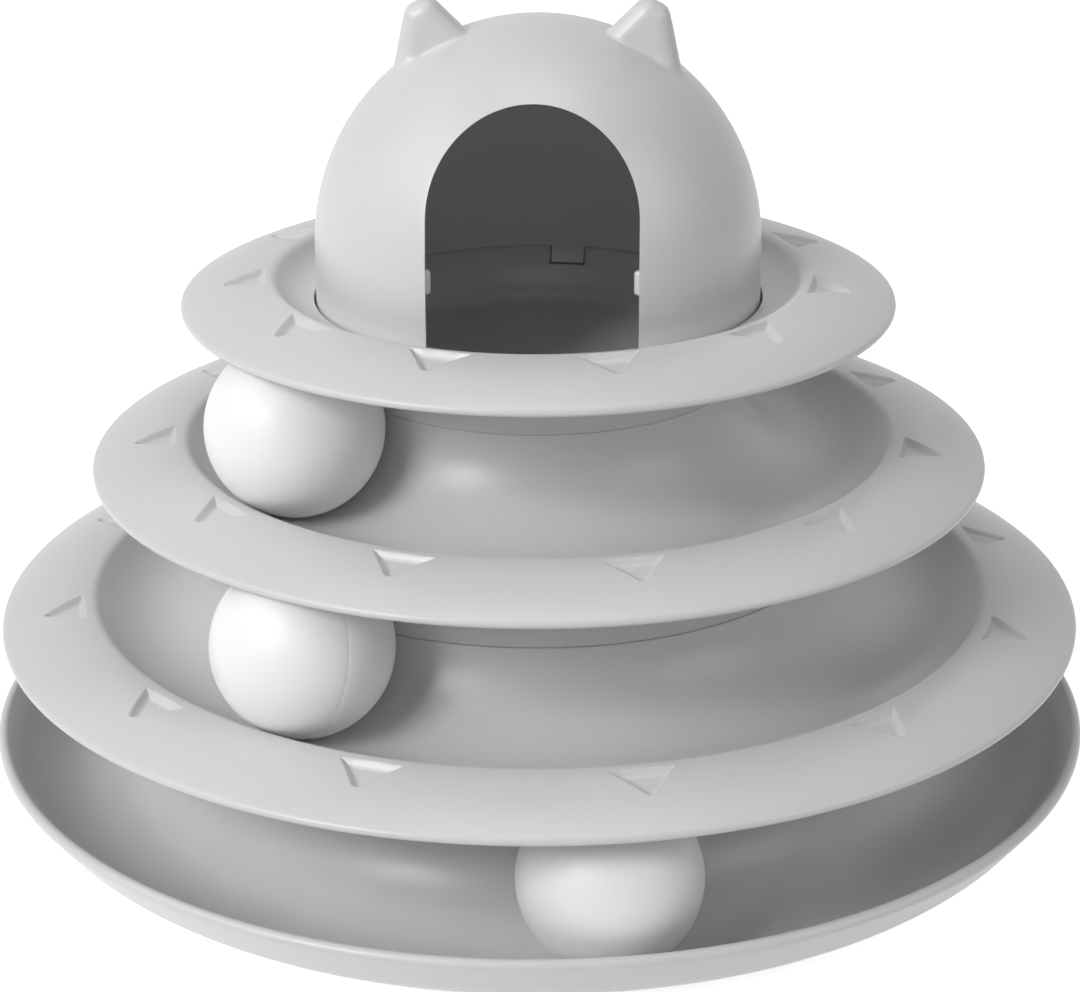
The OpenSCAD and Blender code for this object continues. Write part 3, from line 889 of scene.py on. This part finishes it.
def cut_tab_slots(piece, p, t, h):
    """Cuts the slots in the cup's wall that the house's tabs stand in."""
    width = h.tab_w + 2 * h.tab_gap
    inner = p.dome_in_r - 2 * t.wall
    back = p.tab_out_r + h.tab_gap
    low = p.ledge_z - h.tab_h - h.tab_gap
    high = p.ledge_z + t.wall
    low_back = back - h.tab_lean * (p.ledge_z - low) / h.tab_h
    outline = [(inner, high), (back, high), (back, p.ledge_z), (low_back, low), (inner, low)]
    for i in range(TAB_COUNT):
        slot = draw_block("slot", [(x, -width / 2, z) for x, z in outline], (0, width, 0))
        leave_edit()
        turn_about(slot, tab_turn(i, h))
        combine(piece, slot, "DIFFERENCE")


def dome_outline(radius, low, middle_z, soft_r):
    """Half outline of an upright wall and a round top, from the axis below to the axis above."""
    quarter = arc((0, middle_z), radius, 0, 90, BROAD)
    count = max(1, round((middle_z - low) / BROAD))
    wall = [((radius, low + (middle_z - low) * i / count), 0) for i in range(1, count)]
    return [((0, low), 0), ((radius, low), soft_r)] + wall + quarter


# Segments of an ear's round corners, and of the dome's patch under it
EAR_SEGMENTS = 32
PATCH_SEGMENTS = 180
# Depth of the patch below the dome, and the share of the dome's height where the patch starts
EAR_SINK = 0.00004
EAR_PATCH_SHARE = 0.35
# Size of the cells that an ear and its patch are remeshed with
EAR_VOXEL = 0.00045
# Share of the way from an ear's tip to its outer foot where the foot stays crisp
EAR_CRISP_SHARE = 0.3
# Strength of the smoothing, and its repeats on the whole ear and where it flows into the dome
EAR_SMOOTHING = 0.5
EAR_SKIN_REPEATS = 3
EAR_BLEND_REPEATS = 160


def ear_corners(side, p, h):
    """Middles of an ear's round corners, front and back: two of its tip, outer foot, inner foot."""
    corners = (
        (p.dome_r + h.ear_tip_out, h.ear_tip_angle),
        (p.dome_r + h.ear_tip_out, h.ear_tip_angle - h.ear_tip_span),
        (p.dome_r - h.ear_outer_in, h.ear_outer_angle),
        (p.dome_r - h.ear_inner_in, h.ear_inner_angle),
    )
    return [
        (side * reach * math.cos(a), y - h.ear_front, p.dome_mid_z + reach * math.sin(a))
        for reach, a in corners
        for y in (h.ear_r, h.ear_t - h.ear_r)
    ]


def dome_patch(side, p, h):
    """The piece of the dome under one ear."""
    start_clean()
    add_sphere(PATCH_SEGMENTS, p.dome_r - EAR_SINK, (0, 0, p.dome_mid_z))
    patch = named("patch")
    reach = h.ear_t + h.ear_r
    planes = (
        ((0, -h.ear_front - reach, 0), (0, -1, 0)),
        ((0, h.ear_t - h.ear_front + reach, 0), (0, 1, 0)),
        ((side * h.ear_r, 0, 0), (-side, 0, 0)),
        ((0, 0, p.dome_mid_z + p.dome_r * EAR_PATCH_SHARE), (0, 0, -1)),
    )
    enter_edit()
    for place, way in planes:
        slice_mesh(place, way, clear_outer=True)
    leave_edit()
    return patch


def smooth_ear(piece, side, tip_x, outer_x, p, h):
    """Smooths an ear a little all over, and its outer foot until it flows into the dome."""
    centre = Vector((0, 0, p.dome_mid_z))
    blend = piece.vertex_groups.new(name="blend")
    skin = piece.vertex_groups.new(name="skin")
    for vertex in piece.data.vertices:
        height = (vertex.co - centre).length - p.dome_r
        if height < -h.ear_r / 2:
            continue
        skin.add([vertex.index], 1, "REPLACE")
        near = 1 - min(abs(height) / (2 * h.ear_r), 1)
        outward = (side * vertex.co.x - tip_x) / (outer_x - tip_x)
        weight = near * min(max((outward - EAR_CRISP_SHARE) / (1 - EAR_CRISP_SHARE), 0), 1)
        if weight > 0:
            blend.add([vertex.index], weight, "REPLACE")
    for group, repeats in ((skin, EAR_SKIN_REPEATS), (blend, EAR_BLEND_REPEATS)):
        modify(piece, "SMOOTH", factor=EAR_SMOOTHING, iterations=repeats, vertex_group=group.name)
    piece.vertex_groups.clear()


def ear(side, p, h):
    """One ear with the piece of dome under it, blended together."""
    start_clean()
    places = ear_corners(side, p, h)
    add_sphere(EAR_SEGMENTS, h.ear_r, places[0])
    piece = named("ear")
    enter_edit()
    for place in places[1:]:
        add_sphere(EAR_SEGMENTS, h.ear_r, place)
    select_mesh()
    bpy.ops.mesh.convex_hull()
    leave_edit()
    patch = dome_patch(side, p, h)
    take_up(piece)
    patch.select_set(True)
    bpy.ops.object.join()
    modify(piece, "REMESH", mode="VOXEL", voxel_size=EAR_VOXEL)
    tip, outer_foot = places[0], places[4]
    smooth_ear(piece, side, abs(tip[0]), abs(outer_foot[0]), p, h)
    return piece


DOOR_SEGMENTS = 144
# Steps of the rounding of the door's edge and of a nib's ends
SOFT_STEPS = 4
# Points nearer to the door's edge than this share of its rounding are drawn onto it
DOOR_CROWD_SHARE = 1.3
NIB_SEGMENTS = 32
# Share of a nib's radius that its ends are rounded by
NIB_SOFT_SHARE = 0.6


def door_tool(p, h):
    """An arched block through the house's front wall."""
    start_clean()
    radius = h.door_w / 2
    deep = p.dome_r + h.wall
    centre_z = p.door_arch_z
    bpy.ops.mesh.primitive_cylinder_add(
        vertices=DOOR_SEGMENTS,
        radius=radius,
        depth=deep,
        location=(0, -deep / 2, centre_z),
        rotation=(math.pi / 2, 0, 0),
    )
    tool = named("door")
    enter_edit()
    slice_mesh((0, 0, centre_z), (0, 0, 1), clear_inner=True)
    pick(tool, "FACE", lambda face: face.normal.z < -LEVEL)
    drop = (0, 0, p.ledge_z - centre_z - h.wall)
    bpy.ops.mesh.extrude_region_move(TRANSFORM_OT_translate={"value": drop})
    close_up()
    leave_edit()
    return tool


def add_tabs(piece, p, h):
    """Joins the locating tabs to the house's bottom edge."""
    span = h.tab_w / p.tab_in_r
    low = p.ledge_z - h.tab_h
    high = p.ledge_z + h.wall / 2
    outline = [
        ((p.tab_in_r, high), 0),
        ((p.tab_in_r, p.ledge_z), 0),
        ((p.tab_in_r - h.tab_lean, low), h.tab_soft_r),
        ((p.tab_out_r - h.tab_lean, low), h.tab_soft_r),
        ((p.tab_out_r, p.ledge_z), 0),
        ((p.tab_out_r, high), 0),
    ]
    for i in range(TAB_COUNT):
        tab = lathe("tab", soften(outline), [(span, TAB_STEPS)])
        enter_edit()
        bpy.ops.mesh.select_mode(type="EDGE")
        bpy.ops.mesh.select_all(action="DESELECT")
        bpy.ops.mesh.select_non_manifold()
        bpy.ops.mesh.edge_face_add()
        close_up()
        leave_edit()
        turn_about(tab, tab_turn(i, h) - span / 2)
        combine(piece, tab, "UNION")


def door_distance(place, p, h):
    """Distance of a point from the door's outline, seen from the front."""
    rise = max(place.z - p.door_arch_z, 0)
    return abs(math.hypot(place.x, rise) - h.door_w / 2)


def on_door(place, p, h):
    """True of a point on the door's edge."""
    in_front = place.y <= 0 and place.z >= p.ledge_z - SAME
    return in_front and door_distance(place, p, h) < ON_EDGE


def shell_distance(place, p):
    """Distance of a point from the middle of the dome, or from the axis beside the upright wall."""
    return math.hypot(place.x, place.y, max(place.z - p.dome_mid_z, 0))


def soften_door(piece, p, h):
    """Rounds the door's outer edge, after points that crowd it are drawn onto it."""
    enter_edit()
    crowd = h.door_soft_r * DOOR_CROWD_SHARE

    def crowded(vertex):
        place = vertex.co
        if place.y > 0 or place.z < p.ledge_z + SAME or on_door(place, p, h):
            return False
        return door_distance(place, p, h) < crowd

    pick(piece, "VERT", crowded)
    bpy.ops.mesh.remove_doubles(threshold=crowd, use_unselected=True)
    leave_edit()
    edge = {
        v.index
        for v in piece.data.vertices
        if on_door(v.co, p, h) and abs(shell_distance(v.co, p) - p.dome_r) < ON_SKIN
    }
    enter_edit()
    pick(piece, "EDGE", lambda e: e.vertices[0] in edge and e.vertices[1] in edge)
    bpy.ops.mesh.bevel(offset=h.door_soft_r, segments=SOFT_STEPS, clamp_overlap=True)
    leave_edit()


def add_nibs(piece, p, h):
    """Joins a small round nib to the inner wall at each edge of the door."""
    across = h.door_w / 2
    depth = math.sqrt(p.dome_in_r**2 - across**2)
    for side in (-1, 1):
        start_clean()
        bpy.ops.mesh.primitive_cylinder_add(
            vertices=NIB_SEGMENTS,
            radius=h.nib_r,
            depth=h.nib_len,
            location=(side * across, -depth, p.ledge_z + h.nib_h),
        )
        nib = named("nib")
        enter_edit()
        pick(nib, "FACE", lambda face: abs(face.normal.z) > LEVEL)
        bpy.ops.mesh.bevel(offset=h.nib_r * NIB_SOFT_SHARE, segments=SOFT_STEPS)
        leave_edit()
        combine(piece, nib, "UNION")


class BALLTOWER_OT_house(bpy.types.Operator):
    """Model the domed house: dome, ears, door, tabs and nibs"""

    bl_idname = "ball_tower.house"
    bl_label = "House with ears"

    def execute(self, context):
        p = plan()
        t = context.scene.ball_tower_tracks
        h = context.scene.ball_tower_house
        outside = soften(dome_outline(p.dome_r, p.ledge_z, p.dome_mid_z, t.soft_r))
        piece = lathe("house", outside, even_turn(p.dome_r, HOUSE_SPACING))
        for side in (-1, 1):
            combine(piece, ear(side, p, h), "UNION")
        inside = soften(dome_outline(p.dome_in_r, p.ledge_z - h.wall, p.dome_mid_z, 0))
        combine(piece, lathe("inside", inside, even_turn(p.dome_in_r, HOUSE_SPACING)), "DIFFERENCE")
        combine(piece, door_tool(p, h), "DIFFERENCE")
        soften_door(piece, p, h)
        add_tabs(piece, p, h)
        add_nibs(piece, p, h)
        finish(piece, "dome", "house", "shell_plastic", HOUSE_SMOOTH_ANGLE)
        return {"FINISHED"}


BALL_SEGMENTS = 96
# Levels of the hollow in a ball's half, and steps of the soft edge at its joint line
HOLLOW_LEVELS = 14
JOINT_STEPS = 3


class BALLTOWER_OT_balls(bpy.types.Operator):
    """Model the three hollow balls, each of two halves that meet at a joint line"""

    bl_idname = "ball_tower.balls"
    bl_label = "Balls"

    def execute(self, context):
        p = plan()
        b = context.scene.ball_tower_balls
        for name, centre in p.centres.items():
            seam = getattr(b, f"{name}_seam")
            place = (
                Matrix.Translation(centre)
                @ Matrix.Rotation(math.atan2(centre.x, -centre.y), 4, "Z")
                @ Matrix.Rotation(seam[2], 4, "Z")
                @ Matrix.Rotation(seam[1], 4, "Y")
                @ Matrix.Rotation(seam[0], 4, "X")
            )
            for half, side in zip(HALVES, (-1, 1)):
                piece = self.half(f"{name}_ball_half_{half}", side, p, b)
                piece.matrix_world = place
                bpy.ops.object.transform_apply(location=True, rotation=True)
                finish(piece, f"ball_{name}_half_{half}", f"{name}_ball", "ball_plastic")
        return {"FINISHED"}

    def half(self, name, side, p, b):
        """One half of a ball's shell, below or above the joint line."""
        start_clean()
        add_sphere(BALL_SEGMENTS, p.ball_r)
        piece = named(name)
        enter_edit()
        slice_mesh((0, 0, 0), (0, 0, side), clear_inner=True)
        pick(piece, "FACE", lambda face: face.normal.z * side < -LEVEL)
        bpy.ops.mesh.bevel(offset=b.groove, segments=JOINT_STEPS)
        pick(piece, "FACE", lambda face: face.normal.z * side < -LEVEL)
        bpy.ops.mesh.inset(thickness=b.wall)
        hollow = p.ball_r - b.wall - b.groove
        turns = [math.pi / 2 * k / (HOLLOW_LEVELS + 1) for k in range(HOLLOW_LEVELS + 1)]
        for before, after in zip(turns, turns[1:]):
            rise = hollow * math.sin(after)
            step = (0, 0, side * (rise - hollow * math.sin(before)))
            size = math.cos(after) / math.cos(before)
            bpy.ops.mesh.extrude_region_move(TRANSFORM_OT_translate={"value": step})
            bpy.ops.transform.resize(value=(size, size, 1), center_override=(0, 0, side * rise))
        close_up()
        leave_edit()
        return piece


# Steps along each side and each round end of a pad, and of its lower edge
PAD_STEPS = 16
PAD_SOFT_STEPS = 3


def pad_block(name, p, t, b, grow, low, high, turned):
    """An arc-shaped block with round ends, grown all round by an amount."""
    middle = p.track["base"] + t.tray_flat / 2
    half = b.pad_w / 2 + grow
    span = b.pad_span / 2
    points = []
    for side, start in ((1, 0), (-1, math.pi)):
        edge = middle + side * half
        for i in range(PAD_STEPS + 1):
            angle = turned + side * span * (2 * i / PAD_STEPS - 1)
            points.append((edge * math.cos(angle), edge * math.sin(angle), low))
        end = turned + side * span
        for i in range(1, PAD_STEPS):
            angle = end + start + math.pi * i / PAD_STEPS
            x = middle * math.cos(end) + half * math.cos(angle)
            y = middle * math.sin(end) + half * math.sin(angle)
            points.append((x, y, low))
    return draw_block(name, points, (0, 0, high - low))


class BALLTOWER_OT_pads(bpy.types.Operator):
    """Model the rubber pads that the tray stands on"""

    bl_idname = "ball_tower.pads"
    bl_label = "Rubber pads"

    def execute(self, context):
        p = plan()
        t = context.scene.ball_tower_tracks
        b = context.scene.ball_tower_balls
        for node, turned in pad_places():
            low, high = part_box(node)
            pad = pad_block(f"rubber_{node}", p, t, b, 0, low.z, high.z, turned)
            middle = (low.z + high.z) / 2
            pick(pad, "EDGE", lambda e: all(pad.data.vertices[v].co.z < middle for v in e.vertices))
            bpy.ops.mesh.bevel(offset=b.pad_soft_r, segments=PAD_SOFT_STEPS)
            leave_edit()
            finish(pad, node, "base", "pad_rubber")
        return {"FINISHED"}


def pad_places():
    """Each pad's node with its turn about the tower, from the +X side."""
    nodes = sorted(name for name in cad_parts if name.startswith("foot_pad_"))
    return [(node, i * math.tau / len(nodes) - math.pi / 2) for i, node in enumerate(nodes)]


# Size of each lamp, and its direction in degrees: round the tower from the front, and up
LAMPS = {
    "key": (0.7, -40, 31),
    "side": (1.3, -75, 40),
    "fill": (1.0, 65, 28),
    "top": (1.0, 0, 88),
}
# Where the lamps point, and their distance from there
LAMP_AIM = Vector((0, 0, 0.09))
LAMP_DISTANCE = 1.9
# Width of the camera's sensor in millimetres, and the nearest that it sees in metres
SENSOR_W = 36
NEAREST = 0.01
FLOOR_SIZE = 12
FLOOR_WHITE = 0.9
FLOOR_ROUGH = 0.9
# Light that the floor gives to the eye and in reflections, beside what falls on it
FLOOR_GLOW = 0.8


def seen_mask(tree):
    """A socket that is 1 for what is seen, mirrored or seen through a piece, and 0 for light."""
    rays = tree.nodes.new("ShaderNodeLightPath").outputs
    mask = rays["Is Camera Ray"]
    for kind in ("Is Glossy Ray", "Is Transmission Ray"):
        either = tree.nodes.new("ShaderNodeMath")
        either.operation = "MAXIMUM"
        link_chain(tree, (mask, either.inputs[0]), (rays[kind], either.inputs[1]))
        mask = either.outputs[0]
    return mask


class BALLTOWER_OT_studio(bpy.types.Operator):
    """Set the camera, the lamps, the white surroundings and the floor"""

    bl_idname = "ball_tower.studio"
    bl_label = "Studio"

    def execute(self, context):
        scene = context.scene
        s = scene.ball_tower_studio
        scene.view_settings.view_transform = "Standard"
        start_clean()
        bpy.ops.object.camera_add()
        camera = bpy.context.object
        camera.data.sensor_width = SENSOR_W
        camera.data.lens = s.lens
        camera.data.clip_start = NEAREST
        camera.matrix_world = (
            Matrix.Rotation(s.azimuth, 4, "Z")
            @ Matrix.Translation((0, -s.distance, s.height))
            @ Matrix.Rotation(-s.yaw, 4, "Z")
            @ Matrix.Rotation(math.pi / 2 - s.pitch, 4, "X")
            @ Matrix.Rotation(s.roll, 4, "Z")
        )
        scene.camera = camera
        for name, (size, azimuth, elevation) in LAMPS.items():
            self.lamp(name, getattr(s, name), size, math.radians(azimuth), math.radians(elevation))
        self.surroundings(scene, s)
        self.floor()
        return {"FINISHED"}

    def lamp(self, name, watts, size, around, up):
        """A square soft lamp that points at the tower."""
        way = Vector(
            (math.cos(up) * math.sin(around), -math.cos(up) * math.cos(around), math.sin(up))
        )
        bpy.ops.object.light_add(type="AREA", location=LAMP_AIM + way * LAMP_DISTANCE)
        lamp = bpy.context.object
        lamp.name = f"{name}_lamp"
        lamp.data.energy = watts
        lamp.data.size = size
        lamp.rotation_euler = (-way).to_track_quat("-Z", "Y").to_euler()

    def surroundings(self, scene, s):
        """White to the eye and in reflections, and a plain even light otherwise."""
        world = bpy.data.worlds.new("Studio")
        world.use_nodes = True
        scene.world = world
        tree = world.node_tree
        background = tree.nodes["Background"]
        background.inputs["Color"].default_value = (1, 1, 1, 1)
        strength = tree.nodes.new("ShaderNodeMapRange")
        strength.inputs["To Min"].default_value = s.ambient
        strength.inputs["To Max"].default_value = 1
        link_chain(
            tree,
            (seen_mask(tree), strength.inputs["Value"]),
            (strength.outputs["Result"], background.inputs["Strength"]),
        )

    def floor(self):
        """A wide white floor that keeps the tower's shadow."""
        bpy.ops.mesh.primitive_plane_add(size=FLOOR_SIZE, location=(0, 0, 0))
        floor = named("floor")
        material = bpy.data.materials.new("floor_white")
        material.use_nodes = True
        tree = material.node_tree
        shader = tree.nodes["Principled BSDF"]
        shader.inputs["Base Color"].default_value = (FLOOR_WHITE, FLOOR_WHITE, FLOOR_WHITE, 1)
        shader.inputs["Roughness"].default_value = FLOOR_ROUGH
        shader.inputs["Specular IOR Level"].default_value = 0
        glow = tree.nodes.new("ShaderNodeEmission")
        glow.inputs["Strength"].default_value = FLOOR_GLOW
        total = tree.nodes.new("ShaderNodeAddShader")
        choice = tree.nodes.new("ShaderNodeMixShader")
        link_chain(
            tree,
            (shader.outputs["BSDF"], total.inputs[0]),
            (glow.outputs["Emission"], total.inputs[1]),
            (seen_mask(tree), choice.inputs["Fac"]),
            (shader.outputs["BSDF"], choice.inputs[1]),
            (total.outputs["Shader"], choice.inputs[2]),
            (choice.outputs["Shader"], tree.nodes["Material Output"].inputs["Surface"]),
        )
        floor.data.materials.append(material)


OPERATORS = (
    BALLTOWER_OT_tray,
    BALLTOWER_OT_tiers,
    BALLTOWER_OT_house,
    BALLTOWER_OT_balls,
    BALLTOWER_OT_pads,
    BALLTOWER_OT_studio,
)


class BALLTOWER_PT_panel(bpy.types.Panel):
    """The sizes, finishes and steps of the ball tower"""

    bl_idname = "BALLTOWER_PT_panel"
    bl_label = "Ball Tower"
    bl_space_type = "VIEW_3D"
    bl_region_type = "UI"
    bl_category = "Ball Tower"

    def draw(self, context):
        for name, group in GROUPS:
            box = self.layout.box()
            box.label(text=group.__doc__)
            for key in group.__annotations__:
                box.prop(getattr(context.scene, name), key)
        for operator in OPERATORS:
            self.layout.operator(operator.bl_idname)


def register():
    for name, group in GROUPS:
        bpy.utils.register_class(group)
        setattr(bpy.types.Scene, name, bpy.props.PointerProperty(type=group))
    for part in OPERATORS + (BALLTOWER_PT_panel,):
        bpy.utils.register_class(part)


def unregister():
    for part in (BALLTOWER_PT_panel,) + OPERATORS[::-1]:
        bpy.utils.unregister_class(part)
    for name, group in GROUPS[::-1]:
        delattr(bpy.types.Scene, name)
        bpy.utils.unregister_class(group)


def main():
    register()
    bpy.ops.ball_tower.tray()
    bpy.ops.ball_tower.tiers()
    bpy.ops.ball_tower.house()
    bpy.ops.ball_tower.balls()
    bpy.ops.ball_tower.pads()
    bpy.ops.ball_tower.studio()


if __name__ == "__main__":
    main()
